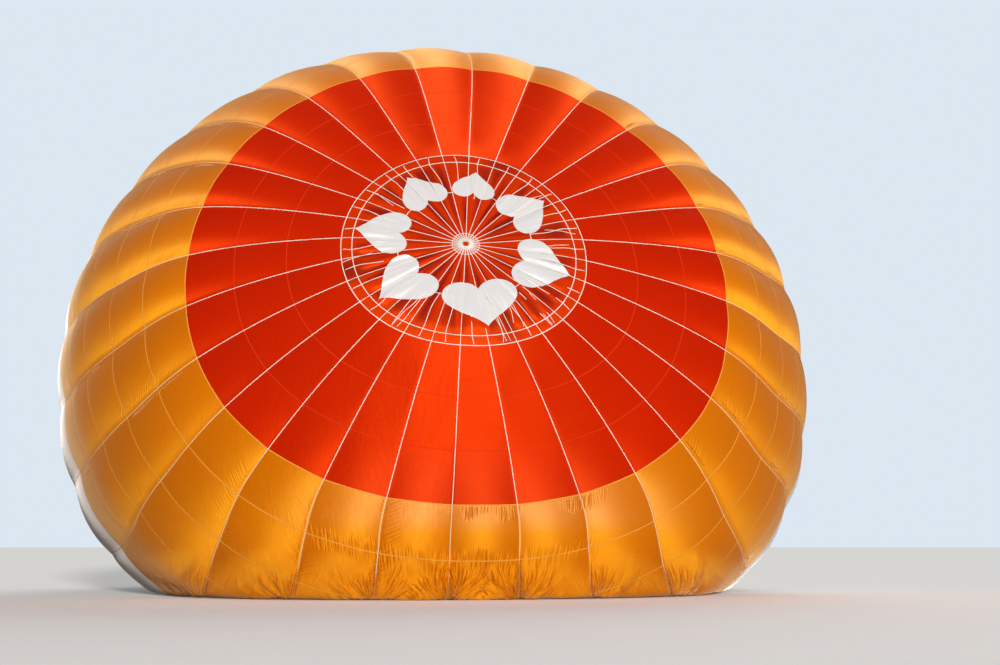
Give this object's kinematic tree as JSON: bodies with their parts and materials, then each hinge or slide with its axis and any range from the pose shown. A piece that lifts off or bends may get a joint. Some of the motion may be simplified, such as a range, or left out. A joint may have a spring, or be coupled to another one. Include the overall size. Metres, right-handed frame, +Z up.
{
  "type": "hot air balloon",
  "caption": "Passenger hot air balloon on its side during cold inflation, with hollow envelope, parachute vent, flying wires, gimballed burners and partitioned basket.",
  "frame": {"origin": "on the ground below the centre of the crown, where the mount air is", "axes": "+Z up; -Y towards the crown, +Y towards the mouth, burners and basket; +X to the right as the crown is faced"},
  "size_m": [25.853, 30.7966, 18.4777],
  "materials": {
    "red_fabric": "coated ripstop nylon",
    "yellow_fabric": "coated ripstop nylon",
    "white_fabric": "coated ripstop nylon",
    "mouth_fabric": "flame resistant cloth",
    "tape": "woven polyester webbing",
    "steel": "satin stainless",
    "wicker": "woven cane",
    "wood": "varnished plywood",
    "leather": "stitched hide over padding",
    "aluminium": "brushed"
  },
  "bodies": {
    "balloon": {"crown_red_1": "red_fabric", "crown_red_2": "red_fabric", "crown_red_3": "red_fabric", "crown_red_4": "red_fabric", "shoulder_yellow_1": "yellow_fabric", "shoulder_yellow_2": "yellow_fabric", "shoulder_yellow_3": "yellow_fabric", "shoulder_yellow_4": "yellow_fabric", "body_white_1": "white_fabric", "body_white_2": "white_fabric", "body_white_3": "white_fabric", "body_white_4": "white_fabric", "lower_white_1": "white_fabric", "lower_white_2": "white_fabric", "lower_white_3": "white_fabric", "lower_white_4": "white_fabric", "mouth_band": "mouth_fabric", "crown_tapes": "tape", "crown_ring": "steel", "flying_wires_1": "steel", "flying_wires_2": "steel", "flying_wires_3": "steel", "flying_wires_4": "steel", "karabiner_1": "steel", "karabiner_2": "steel", "karabiner_3": "steel", "karabiner_4": "steel", "load_frame": "steel", "upright_1": "leather", "upright_2": "leather", "upright_3": "leather", "upright_4": "leather", "basket_floor": "wood", "basket_wall_ground_side": "wicker", "basket_wall_sky_side": "wicker", "basket_end_left": "wicker", "basket_end_right": "wicker", "basket_partition_left": "wicker", "basket_partition_right": "wicker", "basket_rim": "leather", "fuel_cylinder_1": "aluminium", "fuel_cylinder_2": "aluminium", "fuel_cylinder_3": "aluminium", "fuel_cylinder_4": "aluminium"},
    "parachute_valve": {"parachute": "red_fabric"},
    "gimbal_ring": {"gimbal": "steel"},
    "burners": {"burner_block": "steel", "burner_can_1": "steel", "burner_can_2": "steel", "burner_can_3": "steel", "burner_can_4": "steel"}
  },
  "joints": [
    {"name": "parachute_slide", "type": "slide", "parent": "balloon", "child": "parachute_valve", "axis": [0, 0.9249, -0.3802], "range_m": [0, 1.5]},
    {"name": "gimbal_tilt", "type": "hinge", "parent": "balloon", "child": "gimbal_ring", "pos_m": [0, 27.73, 0.822], "axis": [1, 0, 0], "range_deg": [-12, 12]},
    {"name": "burner_swing", "type": "hinge", "parent": "gimbal_ring", "child": "burners", "pos_m": [0, 27.73, 0.822], "axis": [0, 0, 1], "range_deg": [-12, 12]}
  ]
}
